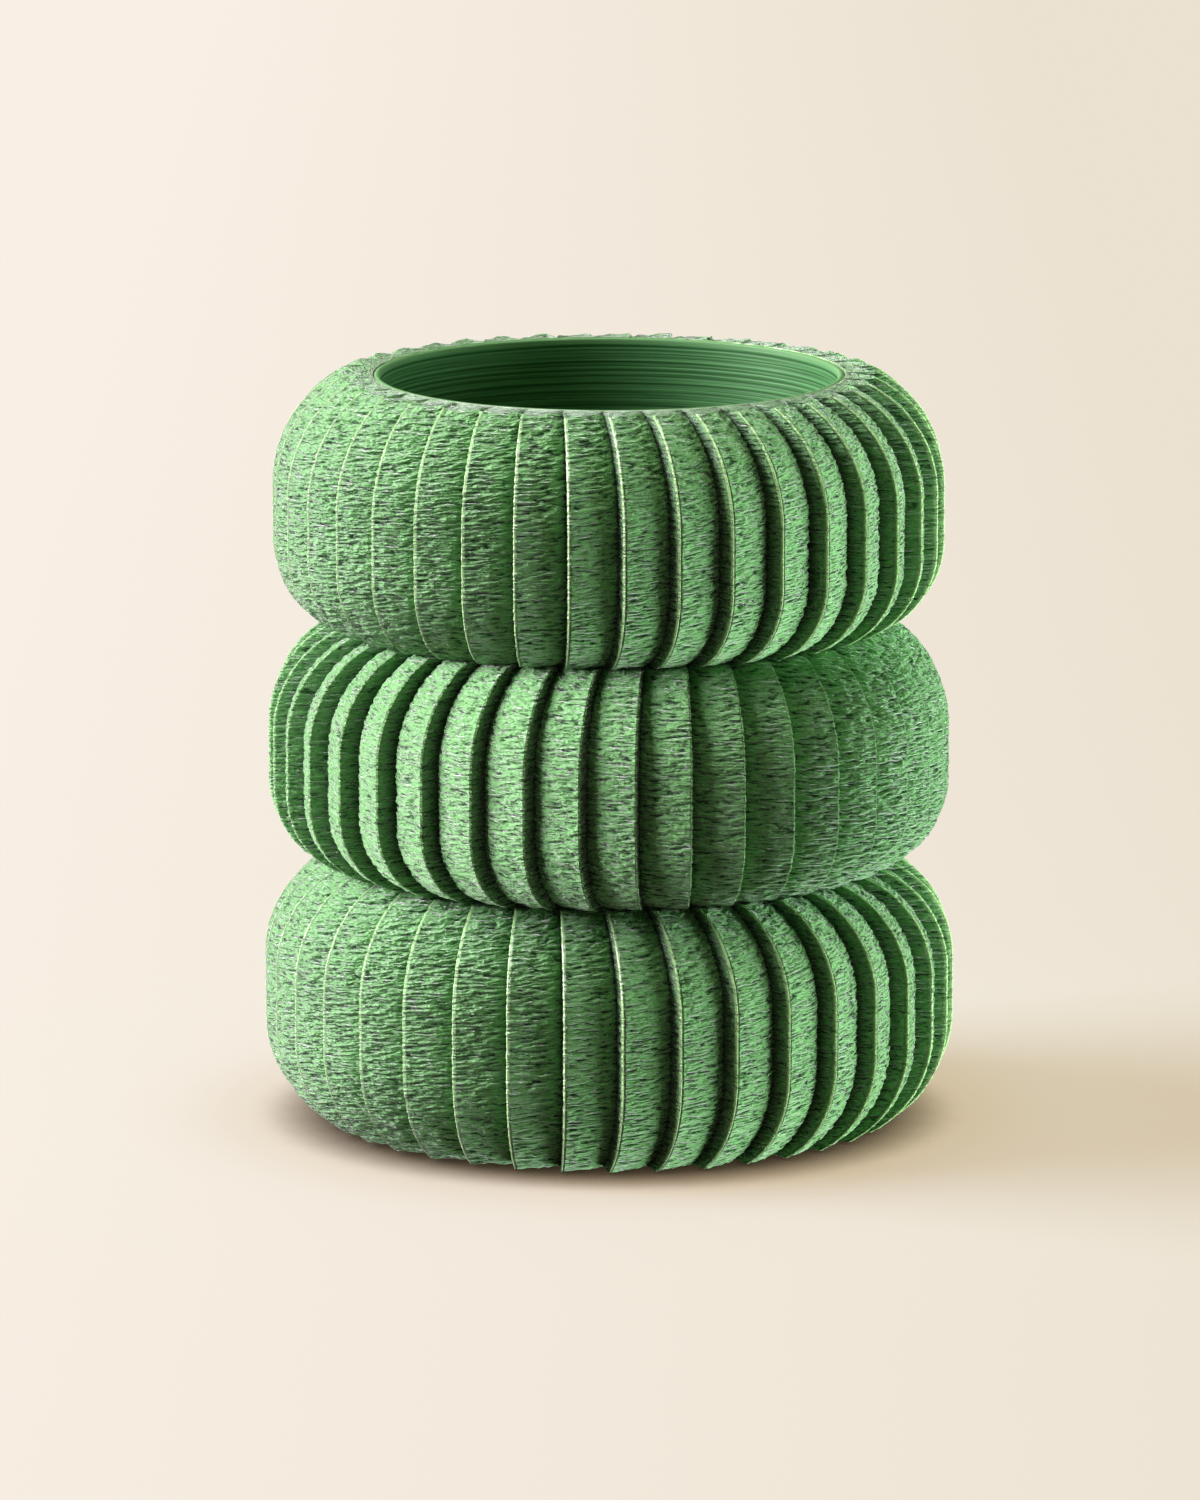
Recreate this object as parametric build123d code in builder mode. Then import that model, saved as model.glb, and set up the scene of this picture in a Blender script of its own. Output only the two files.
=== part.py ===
# Tiered planter: three ribbed, printed tiers stacked round a lift-out pot on a drip saucer.
# Millimetres and degrees. Z is up, the floor is Z = 0 and the front faces -Y.

import os
from math import atan2, cos, degrees, radians, sin, sqrt
from typing import NamedTuple

from build123d import *

# Ribs: each has a gentle ramp and a steep face, like the teeth of a ratchet
TOP_RIBS = 39
MIDDLE_RIBS = 39
BOTTOM_RIBS = 38
RIB_DEPTH = 10.5            # tip to root at a tier's belly
RIB_DEPTH_END = 11.5        # tip to root at a tier's flat ends
RIB_RAKE = 10.0             # lean of the steep face off the radial line
TOP_PHASE = 2.4             # first tip, counted from the front towards +X
MIDDLE_PHASE = 4.6
BOTTOM_PHASE = 2.1

# Tiers, from the floor up
BOTTOM_HEIGHT = 115.8
MIDDLE_HEIGHT = 107.0
TOP_HEIGHT = 110.8
BOTTOM_BELLY = 58.4         # height of the widest place above the tier's own underside
MIDDLE_BELLY = 49.0
TOP_BELLY = 49.7
BELLY_FLAT = 25.0           # upright stretch at the belly
BOTTOM_BULGE = 30.5         # how far the belly stands out past the seam
MIDDLE_BULGE = 28.1
TOP_BULGE = 25.6
BASE_RADIUS = 127.5         # rib tips on the base
WALL = 4.0                  # shell behind the rib roots
FLANGE = 6.0                # flat ring at a shell's ends
FLOOR = 5.0                 # bottom tier's floor

# Keyed spigots that seat each tier on the one below
SPIGOT_DEPTH = 6.0
SPIGOT_WALL = 2.6
SPIGOT_FIT = 0.4            # radial gap in the socket, and beside each key
SOCKET_WALL = 3.9           # socket to rib roots
KEY_COUNT = 4
KEY_WIDTH = 10.0

# Lift-out pot
POT_RADIUS = 104.4          # outside, at the rim
POT_FOOT_RADIUS = 96.0      # outside, where the pot stands in the saucer
POT_FOOT_RISE = 6.0         # narrow foot above the saucer's rim
POT_SHOULDER = 8.4          # height of the slope from the foot to the full radius
POT_WALL = 2.8
POT_FLOOR = 4.0
POT_FIT = 0.4               # radial gap in the planter's mouth
POT_PASS = 1.2              # radial gap to the spigots that the pot passes
MOUTH_WALL = 3.7            # mouth to rib roots
LIP_CHAMFER = 2.0           # inner edge of the rim
FOOT_RING_RADIUS = 84.0
FOOT_RING_HEIGHT = 5.0
FOOT_RING_WALL = 3.0
DRAIN_COUNT = 4
DRAIN_RADIUS = 5.0
DRAIN_CIRCLE = 55.0         # radius that the drain holes lie on

# Drip saucer, clipped to the pot's foot ring
SAUCER_HEIGHT = 22.0
SAUCER_ROOM = 4.6           # radial gap between the pot's foot and the saucer's wall
SAUCER_WALL = 2.4
SAUCER_FLOOR = 3.0
CLIP_COUNT = 4              # tabs that grip the foot ring, between its water gaps
CLIP_WIDTH = 18.0
CLIP_WALL = 2.4
CLIP_FIT = 0.3
WATER_GAP = 24.0
STOP_COUNT = 4              # blocks on the planter's floor that centre the saucer
STOP_WIDTH = 14.0
STOP_HEIGHT = 6.0
STOP_WALL = 4.0
STOP_FIT = 0.4

# Foot pads stuck under the base
PAD_COUNT = 4
PAD_SIDE = 22.0
PAD_THICKNESS = 1.5
PAD_CIRCLE = 92.0

# Worked out from the sizes above
SAUCER_RADIUS = POT_FOOT_RADIUS + SAUCER_ROOM + SAUCER_WALL
LIFT_RADIUS = max(POT_RADIUS, SAUCER_RADIUS)    # widest place that lifts out through the mouth
SPIGOT_BORE = LIFT_RADIUS + POT_PASS
SPIGOT_RADIUS = SPIGOT_BORE + SPIGOT_WALL
SOCKET_RADIUS = SPIGOT_RADIUS + SPIGOT_FIT
SEAM_RADIUS = SOCKET_RADIUS + SOCKET_WALL + RIB_DEPTH_END
MOUTH_RADIUS = LIFT_RADIUS + POT_FIT
CROWN_RADIUS = MOUTH_RADIUS + MOUTH_WALL + RIB_DEPTH_END
BASE_Z = PAD_THICKNESS
LOW_SEAM_Z = BASE_Z + BOTTOM_HEIGHT
HIGH_SEAM_Z = LOW_SEAM_Z + MIDDLE_HEIGHT
CROWN_Z = HIGH_SEAM_Z + TOP_HEIGHT
FLOOR_Z = BASE_Z + FLOOR
FOOT_Z = FLOOR_Z + SAUCER_FLOOR
POT_FLOOR_Z = FOOT_Z + FOOT_RING_HEIGHT
SHOULDER_Z = FLOOR_Z + SAUCER_HEIGHT + POT_FOOT_RISE
CORE = POT_RADIUS / 2       # rib sectors start well inside every bore


class Tier(NamedTuple):
    """Rib tips of one tier: counts, heights and radii; hand +1 steps down towards +X at the front."""
    ribs: int
    phase: float
    hand: int
    bottom_z: float
    top_z: float
    belly_z: float
    belly_radius: float
    bottom_radius: float
    top_radius: float


BOTTOM = Tier(BOTTOM_RIBS, BOTTOM_PHASE, 1, BASE_Z, LOW_SEAM_Z, BASE_Z + BOTTOM_BELLY,
              SEAM_RADIUS + BOTTOM_BULGE, BASE_RADIUS, SEAM_RADIUS)
MIDDLE = Tier(MIDDLE_RIBS, MIDDLE_PHASE, -1, LOW_SEAM_Z, HIGH_SEAM_Z, LOW_SEAM_Z + MIDDLE_BELLY,
              SEAM_RADIUS + MIDDLE_BULGE, SEAM_RADIUS, SEAM_RADIUS)
TOP = Tier(TOP_RIBS, TOP_PHASE, 1, HIGH_SEAM_Z, CROWN_Z, HIGH_SEAM_Z + TOP_BELLY,
           SEAM_RADIUS + TOP_BULGE, SEAM_RADIUS, CROWN_RADIUS)


def rib_section(tier, turn, share):
    """Upright section of a tier on a raked plane, cut back by a share of the rib depth."""
    offset = tier.belly_radius * sin(radians(RIB_RAKE))
    angle = radians(turn)
    normal = (sin(angle), -cos(angle), 0)
    centre = (tier.hand * offset * normal[0], tier.hand * offset * normal[1], 0)
    plane = Plane(origin=centre, x_dir=(cos(angle), sin(angle), 0), z_dir=normal)
    belly = sqrt((tier.belly_radius - share * RIB_DEPTH)**2 - offset**2)
    low = sqrt((tier.bottom_radius - share * RIB_DEPTH_END)**2 - offset**2)
    high = sqrt((tier.top_radius - share * RIB_DEPTH_END)**2 - offset**2)
    belly_low = tier.belly_z - BELLY_FLAT / 2
    belly_high = tier.belly_z + BELLY_FLAT / 2
    with BuildSketch(plane) as section:
        with BuildLine():
            Line((belly, belly_low), (belly, belly_high))
            TangentArc((belly, belly_high), (high, tier.top_z), tangent=(0, 1))
            Polyline((high, tier.top_z), (CORE, tier.top_z), (CORE, tier.bottom_z), (low, tier.bottom_z))
            TangentArc((belly, belly_low), (low, tier.bottom_z), tangent=(0, -1))
        make_face()
    return section.sketch


def ribbed_ring(tier):
    """Thick ring with ribs: one rib is lofted from its tip to its root, then repeated round the axis."""
    first = tier.phase - 90 + tier.hand * RIB_RAKE
    with BuildPart() as rib:
        add(rib_section(tier, first, 0))
        add(rib_section(tier, first + tier.hand * 360 / tier.ribs, 1))
        loft(ruled=True)
    with BuildPart() as ring:
        with PolarLocations(0, tier.ribs):
            add(rib.part)
    return ring.part


def shell_space(tier, low_z, high_z):
    """Space inside a tier's shell, one wall behind the rib roots, with one flat behind each rib."""
    belly = tier.belly_radius - RIB_DEPTH - WALL
    belly_low = tier.belly_z - BELLY_FLAT / 2
    belly_high = tier.belly_z + BELLY_FLAT / 2

    def shoulder(edge_z, end_z, end_radius, z):
        reach = end_z - edge_z
        drop = tier.belly_radius - RIB_DEPTH - (end_radius - RIB_DEPTH_END)
        round_radius = (reach**2 + drop**2) / (2 * drop)
        return belly - WALL - round_radius + sqrt(round_radius**2 - (z - edge_z)**2)

    low = shoulder(belly_low, tier.bottom_z, tier.bottom_radius, low_z)
    high = shoulder(belly_high, tier.top_z, tier.top_radius, high_z)
    flat = cos(radians(180 / tier.ribs))
    low_taper = degrees(atan2((belly - low) * flat, belly_low - low_z))
    high_taper = degrees(atan2((belly - high) * flat, high_z - belly_high))
    with BuildPart() as space:
        with BuildSketch(Plane.XY.offset(belly_low)):
            RegularPolygon(belly, tier.ribs)
        extrude(amount=BELLY_FLAT)
        ends = space.faces().sort_by(Axis.Z)
        extrude(ends[0], amount=belly_low - low_z, taper=low_taper)
        extrude(ends[-1], amount=high_z - belly_high, taper=high_taper)
    return space.part


def bore(radius, low_z, high_z):
    """Round bore on the axis between two heights, to be cut from the part around it."""
    with Locations((0, 0, low_z)):
        Cylinder(radius, high_z - low_z, align=(Align.CENTER, Align.CENTER, Align.MIN), mode=Mode.SUBTRACT)


ring = ribbed_ring(BOTTOM)
inside = shell_space(BOTTOM, FLOOR_Z, LOW_SEAM_Z - FLANGE)
with BuildPart() as bottom_tier:
    add(ring)
    with Locations((0, 0, BASE_Z)):
        Cylinder(BASE_RADIUS - RIB_DEPTH_END - WALL, FLOOR, align=(Align.CENTER, Align.CENTER, Align.MIN))
    add(inside, mode=Mode.SUBTRACT)
    bore(SOCKET_RADIUS, LOW_SEAM_Z - FLANGE, LOW_SEAM_Z)
    with PolarLocations(SAUCER_RADIUS + STOP_FIT, STOP_COUNT):
        with Locations((0, 0, FLOOR_Z)):
            Box(STOP_WALL, STOP_WIDTH, STOP_HEIGHT, align=(Align.MIN, Align.CENTER, Align.MIN))
    key_depth = SOCKET_RADIUS + SOCKET_WALL / 2 - SPIGOT_BORE
    with PolarLocations(SPIGOT_BORE, KEY_COUNT, 180 / KEY_COUNT):
        with Locations((0, 0, LOW_SEAM_Z)):
            Box(key_depth, KEY_WIDTH, FLANGE, align=(Align.MIN, Align.CENTER, Align.MAX))
bottom_tier.part.label = "bottom_tier"

ring = ribbed_ring(MIDDLE)
inside = shell_space(MIDDLE, LOW_SEAM_Z + FLANGE, HIGH_SEAM_Z - FLANGE)
with BuildPart() as middle_tier:
    add(ring)
    add(inside, mode=Mode.SUBTRACT)
    bore(SPIGOT_BORE, LOW_SEAM_Z, LOW_SEAM_Z + FLANGE)
    bore(SOCKET_RADIUS, HIGH_SEAM_Z - FLANGE, HIGH_SEAM_Z)
    with BuildSketch(Plane.XY.offset(LOW_SEAM_Z)):
        Circle(SPIGOT_RADIUS)
        Circle(SPIGOT_BORE, mode=Mode.SUBTRACT)
    extrude(amount=-SPIGOT_DEPTH)
    with PolarLocations(SPIGOT_BORE, KEY_COUNT, 180 / KEY_COUNT):
        with Locations((0, 0, LOW_SEAM_Z)):
            Box(2 * SPIGOT_WALL, KEY_WIDTH + 2 * SPIGOT_FIT, SPIGOT_DEPTH,
                align=(Align.CENTER, Align.CENTER, Align.MAX), mode=Mode.SUBTRACT)
    with PolarLocations(SPIGOT_BORE, KEY_COUNT, 180 / KEY_COUNT):
        with Locations((0, 0, HIGH_SEAM_Z)):
            Box(key_depth, KEY_WIDTH, FLANGE, align=(Align.MIN, Align.CENTER, Align.MAX))
middle_tier.part.label = "middle_tier"

ring = ribbed_ring(TOP)
inside = shell_space(TOP, HIGH_SEAM_Z + FLANGE, CROWN_Z - FLANGE)
with BuildPart() as top_tier:
    add(ring)
    add(inside, mode=Mode.SUBTRACT)
    bore(SPIGOT_BORE, HIGH_SEAM_Z, HIGH_SEAM_Z + FLANGE)
    bore(MOUTH_RADIUS, CROWN_Z - FLANGE, CROWN_Z)
    with BuildSketch(Plane.XY.offset(HIGH_SEAM_Z)):
        Circle(SPIGOT_RADIUS)
        Circle(SPIGOT_BORE, mode=Mode.SUBTRACT)
    extrude(amount=-SPIGOT_DEPTH)
    with PolarLocations(SPIGOT_BORE, KEY_COUNT, 180 / KEY_COUNT):
        with Locations((0, 0, HIGH_SEAM_Z)):
            Box(2 * SPIGOT_WALL, KEY_WIDTH + 2 * SPIGOT_FIT, SPIGOT_DEPTH,
                align=(Align.CENTER, Align.CENTER, Align.MAX), mode=Mode.SUBTRACT)
top_tier.part.label = "top_tier"

with BuildPart() as inner_pot:
    with BuildSketch(Plane.XZ):
        with BuildLine():
            Polyline((0, POT_FLOOR_Z), (FOOT_RING_RADIUS - FOOT_RING_WALL, POT_FLOOR_Z),
                     (FOOT_RING_RADIUS - FOOT_RING_WALL, FOOT_Z), (FOOT_RING_RADIUS, FOOT_Z),
                     (FOOT_RING_RADIUS, POT_FLOOR_Z), (POT_FOOT_RADIUS, POT_FLOOR_Z),
                     (POT_FOOT_RADIUS, SHOULDER_Z), (POT_RADIUS, SHOULDER_Z + POT_SHOULDER),
                     (POT_RADIUS, CROWN_Z), (POT_RADIUS - POT_WALL, CROWN_Z),
                     (POT_RADIUS - POT_WALL, SHOULDER_Z + POT_SHOULDER + POT_WALL),
                     (POT_FOOT_RADIUS - POT_WALL, SHOULDER_Z + POT_WALL),
                     (POT_FOOT_RADIUS - POT_WALL, POT_FLOOR_Z + POT_FLOOR), (0, POT_FLOOR_Z + POT_FLOOR),
                     close=True)
        make_face()
    revolve(axis=Axis.Z)
    rim = inner_pot.edges().filter_by(GeomType.CIRCLE).filter_by_position(Axis.Z, CROWN_Z, CROWN_Z)
    chamfer(rim.sort_by(SortBy.RADIUS)[0], LIP_CHAMFER)
    with Locations((0, 0, POT_FLOOR_Z)):
        with PolarLocations(DRAIN_CIRCLE, DRAIN_COUNT):
            Cylinder(DRAIN_RADIUS, POT_FLOOR, align=(Align.CENTER, Align.CENTER, Align.MIN), mode=Mode.SUBTRACT)
        Cylinder(DRAIN_RADIUS, POT_FLOOR, align=(Align.CENTER, Align.CENTER, Align.MIN), mode=Mode.SUBTRACT)
    with Locations((0, 0, FOOT_Z)):
        with PolarLocations(FOOT_RING_RADIUS, CLIP_COUNT):
            Box(3 * FOOT_RING_WALL, WATER_GAP, FOOT_RING_HEIGHT,
                align=(Align.CENTER, Align.CENTER, Align.MIN), mode=Mode.SUBTRACT)
inner_pot.part.label = "inner_pot"

with BuildPart() as drip_saucer:
    with BuildSketch(Plane.XY.offset(FLOOR_Z)):
        Circle(SAUCER_RADIUS)
    extrude(amount=SAUCER_HEIGHT)
    with BuildSketch(Plane.XY.offset(FOOT_Z)):
        Circle(SAUCER_RADIUS - SAUCER_WALL)
    extrude(amount=SAUCER_HEIGHT, mode=Mode.SUBTRACT)
    with PolarLocations(FOOT_RING_RADIUS + CLIP_FIT, CLIP_COUNT, 180 / CLIP_COUNT):
        with Locations((0, 0, FOOT_Z)):
            Box(CLIP_WALL, CLIP_WIDTH, FOOT_RING_HEIGHT - CLIP_FIT,
                align=(Align.MIN, Align.CENTER, Align.MIN))
drip_saucer.part.label = "drip_saucer"

os.makedirs("parts", exist_ok=True)
export_step(bottom_tier.part, "parts/bottom_tier.step")
export_step(middle_tier.part, "parts/middle_tier.step")
export_step(top_tier.part, "parts/top_tier.step")
export_step(inner_pot.part, "parts/inner_pot.step")
export_step(drip_saucer.part, "parts/drip_saucer.step")

for number, place in enumerate(PolarLocations(PAD_CIRCLE, PAD_COUNT, 180 / PAD_COUNT), start=1):
    with BuildPart() as foot_pad:
        with Locations(place):
            Box(PAD_SIDE, PAD_SIDE, PAD_THICKNESS, align=(Align.CENTER, Align.CENTER, Align.MIN))
    foot_pad.part.label = f"foot_pad_{number}"
    export_step(foot_pad.part, f"parts/foot_pad_{number}.step")
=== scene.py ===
from math import cos, pi, radians, sin, sqrt

import bmesh
import bpy
from mathutils import Matrix, Vector


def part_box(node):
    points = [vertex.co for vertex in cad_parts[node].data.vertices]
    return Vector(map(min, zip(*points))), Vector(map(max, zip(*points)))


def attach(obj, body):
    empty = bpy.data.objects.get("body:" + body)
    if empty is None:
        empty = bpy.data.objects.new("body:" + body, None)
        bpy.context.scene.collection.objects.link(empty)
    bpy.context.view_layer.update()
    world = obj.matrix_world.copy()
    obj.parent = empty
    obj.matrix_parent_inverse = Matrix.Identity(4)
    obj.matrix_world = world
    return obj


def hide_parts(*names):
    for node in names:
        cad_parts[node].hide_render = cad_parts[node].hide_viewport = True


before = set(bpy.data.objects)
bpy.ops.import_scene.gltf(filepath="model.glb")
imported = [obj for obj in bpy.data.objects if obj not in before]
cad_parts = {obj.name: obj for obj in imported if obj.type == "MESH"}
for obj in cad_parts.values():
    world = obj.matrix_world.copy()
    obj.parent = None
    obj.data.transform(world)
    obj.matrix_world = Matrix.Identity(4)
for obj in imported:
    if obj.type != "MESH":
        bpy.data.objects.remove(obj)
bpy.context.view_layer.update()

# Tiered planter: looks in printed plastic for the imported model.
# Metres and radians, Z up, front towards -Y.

MM = 0.001

# Rib sizes, as on the solid tiers
RIB_DEPTH = 10.5 * MM
RIB_DEPTH_END = 11.5 * MM
RIB_RAKE = radians(10)
BELLY_FLAT = 25 * MM

# How a rib is shaped and divided here
RAMP_CROWN = 0.42            # how far the ramp bows out: 0 is straight, 1 leaves the tip level
ROOT_TURN = 0.25             # how much of the fall comes in a rounded turn next to the root
ROOT_TURN_POWER = 10.0       # how sharp that turn is
TIP_BEVEL = 0.6 * MM
RAMP_STEPS = 10              # columns across a ramp
RAMP_CROWDING = 0.6          # how far those columns crowd towards the root
FACE_STEPS = 2               # columns down a steep face
RING_STEPS = 4               # rows across the flat ring on top of a tier
RING_WIDTH = 16 * MM         # about the width of that ring
RIB_CRISP_ANGLE = radians(33)

# Printed skin: level, wavy dashes, cut into the mesh and finer in the finish
LAYER = 1.24 * MM            # height of one printed layer
ROW = LAYER / 2              # rows of points, two to a layer
WAVE_LENGTH = 6 * MM
DASH_LENGTH = 6.0 * MM
DASH_HEIGHT = 1.1 * MM
DASH_SWAY = 1.2
DASH_SEED = 3.0
FUZZ_DEPTH = 1.2 * MM
FUZZ_DEEPEST = 0.30          # noise at which the cut is full
FUZZ_NONE = 0.66             # noise at which there is no cut
FUZZ_FADE = 0.35             # how near to the mouth the cut starts to fade
FUZZ_OFF_TIPS = 0.65         # share of the cut that is left off at the tips
FINE_LENGTH = 1.8 * MM
FINE_HEIGHT = 0.6 * MM
FINE_SWAY = 0.6
FINE_SEED = 11.0
FINE_SHARE = 0.30            # share of the fine dashes in the finish

# Colours and finish of the fuzzy print; the pit and root greens are painted shade, the edge green a
# painted highlight
GREEN_RIDGE = (0.178, 0.485, 0.154, 1)
GREEN_PIT_SHADE = (0.012, 0.075, 0.014, 1)
GREEN_EDGE_HIGHLIGHT = (0.45, 0.82, 0.32, 1)
GREEN_ROOT_SHADE = (0.009, 0.068, 0.012, 1)
PIT_LEVEL = 0.374            # dash noise that is all pit
RIDGE_LEVEL = 0.475          # dash noise that is all ridge
RAMP_SHADE_FROM = 0.90        # depth in the rib from which painted shade darkens a ramp to its root
FACE_SHADE_FROM = 0.25        # the same for a steep face
ROOT_SHADE_STRENGTH = 0.92
PIT_ROUGHNESS = 0.95
RIDGE_ROUGHNESS = 0.42
EDGE_ROUGHNESS = 0.24
EDGE_FLATNESS = 0.8          # how much of the bump is left off along the tips
EDGE_COAT = 0.5
TIP_HIGHLIGHT = (0.60, 0.90)      # from the plain ramp to a full painted highlight along the tip
MOUTH_HIGHLIGHT = (0.70, 0.90)    # the same for the painted highlight round the mouth
HIGHLIGHT_IN_PITS = 0.45          # strength of those painted highlights across a pit
HIGHLIGHT_ON_RIDGES = 0.95
FUZZY_BUMP = 5.0 * MM

# Colours and finish of the smooth print: dark and light lines, in a copy darkened as painted shade for the
# pot's wall and a lighter copy as painted light on its lip
POT_SHADED_DARK = (0.022, 0.10, 0.024, 1)
POT_SHADED_LIGHT = (0.074, 0.245, 0.078, 1)
LIP_LIT_DARK = (0.110, 0.28, 0.100, 1)
LIP_LIT_LIGHT = (0.155, 0.37, 0.140, 1)
LIP_START = 2.4 * MM         # below the rim, where the lip's paler tone of painted light begins
LIP_FULL = 1.4 * MM          # below the rim, where it is full
POT_LINE_LENGTH = 60 * MM
POT_LINE_SWAY = 0.5
POT_LINE_SEED = 7.0
POT_LAYER_SHARE = 0.6        # share of the whole layers in the tone, the rest is broken lines
POT_TONES = (0.40, 0.60)     # tone that is all dark and all light
POT_ROUGHNESS = (0.6, 0.48)  # of the dark and the light lines
SMOOTH_BUMP = 0.6 * MM

# Rubber of the pads
RUBBER_DARK = (0.012, 0.012, 0.012, 1)
RUBBER_LIGHT = (0.03, 0.03, 0.03, 1)
RUBBER_GRAIN = 900.0
RUBBER_BUMP = 0.1 * MM
RUBBER_ROUGHNESS = (0.7, 0.9)

# Radii and walls of the tiers
SEAM_RADIUS = 124 * MM
CROWN_RADIUS = 120 * MM
BASE_RADIUS = 127.5 * MM
UNDERSIDE_RING = 60 * MM
SHELL_WALL = 4 * MM
FLANGE = 6 * MM
FLOOR_THICKNESS = 5 * MM
MOUTH_RADIUS = 104.8 * MM

# Spigots, sockets and keys
SPIGOT_DEPTH = 6 * MM
SPIGOT_BORE = 105.6 * MM
SPIGOT_RADIUS = 108.2 * MM
SOCKET_RADIUS = 108.6 * MM
KEY_COUNT = 4
KEY_WIDTH = 10 * MM
KEY_DEPTH = 4.9 * MM
KEY_CLEARANCE = 0.2 * MM
SLOT_WIDTH = 10.8 * MM

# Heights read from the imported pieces
BASE_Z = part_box("bottom_tier")[0][2]
LOW_SEAM_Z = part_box("bottom_tier")[1][2]
HIGH_SEAM_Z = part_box("middle_tier")[1][2]
CROWN_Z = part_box("top_tier")[1][2]
SAUCER_LOW, SAUCER_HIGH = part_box("drip_saucer")
POT_LOW, POT_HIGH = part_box("inner_pot")

# Saucer, its stops on the base and its clips on the pot's foot ring
SAUCER_RADIUS = SAUCER_HIGH[0]
SAUCER_WALL = 2.4 * MM
SAUCER_FLOOR = 3 * MM
STOP_SIZE = (4 * MM, 14 * MM, 6 * MM)
STOP_GAP = 0.4 * MM
CLIP_SIZE = (2.4 * MM, 18 * MM, 4.7 * MM)
CLIP_GAP = 0.3 * MM
BLOCK_COUNT = 4

# Pot
POT_RADIUS = POT_HIGH[0]
POT_FOOT_RADIUS = 96 * MM
POT_WALL = 2.8 * MM
POT_FLOOR = 4 * MM
POT_FOOT_RISE = 6 * MM
POT_SHOULDER = 8.4 * MM
RIM_ROUND = POT_WALL / 2
FOOT_RING_RADIUS = 84 * MM
FOOT_RING_WALL = 3 * MM
FOOT_RING_HEIGHT = 5 * MM
DRAIN_RADIUS = 5 * MM
DRAIN_CIRCLE = 55 * MM
WATER_GAP = 24 * MM
EDGE_BREAK = 2 * MM          # bevel on the corners of the pot and the saucer
TURNS = 160                  # divisions of a round piece
DRAIN_SIDES = 32
POT_RIM_STEPS = 8
SAUCER_RIM_STEPS = 6
ON_AXIS = 0.01 * MM
CRISP_ANGLE = radians(35)

# Cream paper, as the camera sees it and as it throws light back
PAPER_LIT = (0.131, 0.188, 0.192, 1)
# Painted light: the paper's glow is brighter on the left, towards the key, than on the right.
PAPER_GLOW_LEFT = (0.725, 0.585, 0.478, 1)
PAPER_GLOW_RIGHT = (0.605, 0.476, 0.336, 1)
PAPER_THROWN = (0.06, 0.05, 0.04, 1)
PAPER_HALF_WIDTH = 0.35      # from the axis to where the glow stops changing
FLOOR_REACH = 30.0
WHITE = (1, 1, 1, 1)

# Contact shade on the paper: reach, openness where it is full and where it ends, light that is left
CONTACT_SHADES = ((80 * MM, 0.30, 0.93, 0.86), (30 * MM, 0.05, 0.78, 0.05))
CONTACT_TINT = (1.0, 0.9, 0.78)

# Surroundings
ROOM_LIGHT = (1.0, 0.93, 0.84, 1)
ROOM_STRENGTH = 0.01
WALL_COLOUR = (0.88, 0.80, 0.69, 1)
WALL_LOW, WALL_HIGH = 0.12, 0.30     # heights of the view between which the pale wall fades out

# Camera, in pixels of the photograph where it says so
CAMERA_HEIGHT = 1025.4 * MM
CAMERA_DISTANCE = 4380.6 * MM
CAMERA_PITCH = radians(11.114)
PHOTO_HEIGHT = 1500
FOCAL_PIXELS = 10000
AXIS_PIXELS_RIGHT = 8.8


class Graph:
    """Adds nodes to a tree and wires them, so that a formula reads as one line."""

    def __init__(self, tree):
        self.tree = tree

    def feed(self, socket, value):
        if isinstance(value, bpy.types.NodeSocket):
            self.tree.links.new(value, socket)
        else:
            socket.default_value = value

    def node(self, kind, *values, named=None, **settings):
        node = self.tree.nodes.new(kind)
        for key, setting in settings.items():
            setattr(node, key, setting)
        for socket, value in zip(node.inputs, values):
            self.feed(socket, value)
        for key, value in (named or {}).items():
            self.feed(node.inputs[key], value)
        return node

    def math(self, operation, *values):
        return self.node("ShaderNodeMath", *values, operation=operation).outputs[0]

    def add(self, *values):
        return self.math("ADD", *values)

    def less(self, *values):
        return self.math("SUBTRACT", *values)

    def times(self, *values):
        return self.math("MULTIPLY", *values)

    def over(self, *values):
        return self.math("DIVIDE", *values)

    def most(self, *values):
        return self.math("MAXIMUM", *values)

    def least(self, *values):
        return self.math("MINIMUM", *values)

    def mix(self, start, end, share):
        return self.add(start, self.times(self.less(end, start), share))

    def spread(self, value, low, high, start=0.0, end=1.0):
        """Value stretched from one range to another and held at its ends."""
        return self.node("ShaderNodeMapRange", value, low, high, start, end).outputs[0]

    def vector(self, x, y, z):
        return self.node("ShaderNodeCombineXYZ", x, y, z).outputs[0]

    def split(self, place):
        return self.node("ShaderNodeSeparateXYZ", place).outputs

    def colour(self, share, first, second, way="MIX"):
        node = self.node("ShaderNodeMix", data_type="RGBA", blend_type=way)
        self.feed(node.inputs[0], share)
        self.feed(node.inputs[6], first)
        self.feed(node.inputs[7], second)
        return node.outputs[2]

    def attribute(self, name):
        return self.node("ShaderNodeAttribute", attribute_name=name).outputs["Fac"]

    def object_place(self):
        return self.node("ShaderNodeTexCoord").outputs["Object"]

    def bump(self, height, strength, distance):
        return self.node("ShaderNodeBump", named={
            "Strength": strength, "Distance": distance, "Height": height}).outputs[0]


# Geometry trees

def new_tree(name, inputs):
    """Geometry tree with a geometry socket each way and the named inputs: name, kind of socket."""
    tree = bpy.data.node_groups.new(name, "GeometryNodeTree")
    tree.interface.new_socket("Geometry", in_out="INPUT", socket_type="NodeSocketGeometry")
    for label, kind in inputs:
        tree.interface.new_socket(label, in_out="INPUT", socket_type="NodeSocket" + kind)
    tree.interface.new_socket("Geometry", in_out="OUTPUT", socket_type="NodeSocketGeometry")
    graph = Graph(tree)
    given = graph.node("NodeGroupInput").outputs
    return graph, given


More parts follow.
